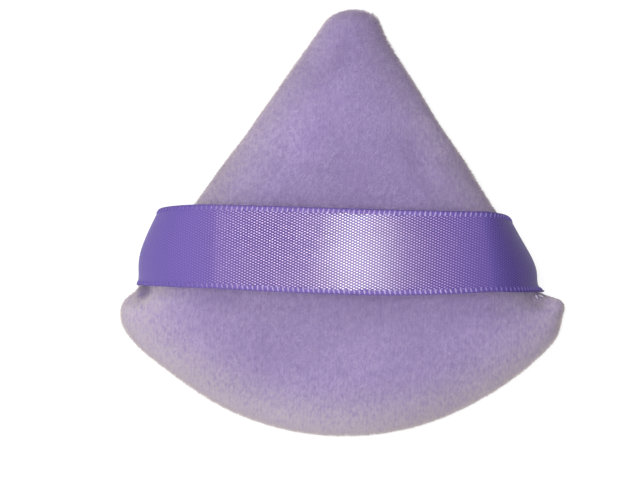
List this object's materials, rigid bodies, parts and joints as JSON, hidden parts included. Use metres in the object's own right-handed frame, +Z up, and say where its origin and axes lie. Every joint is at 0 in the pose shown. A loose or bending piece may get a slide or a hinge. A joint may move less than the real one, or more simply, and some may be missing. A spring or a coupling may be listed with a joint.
{
  "type": "powder puff",
  "caption": "Triangular velour powder puff with rounded corners and a bowed base, foam filled, with a satin ribbon finger strap across its back.",
  "frame": {"origin": "middle of the rectangle that the puff covers, on the surface that it lies on", "axes": "+Z up, away from the front panel that touches the face; +Y towards the apex; +X across, along the strap"},
  "size_m": [0.078, 0.0756, 0.0209],
  "materials": {
    "front_velour": "short-pile lilac velour",
    "back_velour": "short-pile lilac velour",
    "foam": "open-cell polyurethane foam",
    "satin_ribbon": "purple double-face satin",
    "sewing_thread": "spun polyester"
  },
  "bodies": {
    "root": {"front_panel": "front_velour", "back_panel": "back_velour", "foam_core": "foam", "finger_strap": "satin_ribbon", "seam_needle_thread": "sewing_thread", "seam_bobbin_thread": "sewing_thread", "closing_thread": "sewing_thread", "strap_tack_left": "sewing_thread", "strap_tack_right": "sewing_thread"}
  },
  "joints": []
}
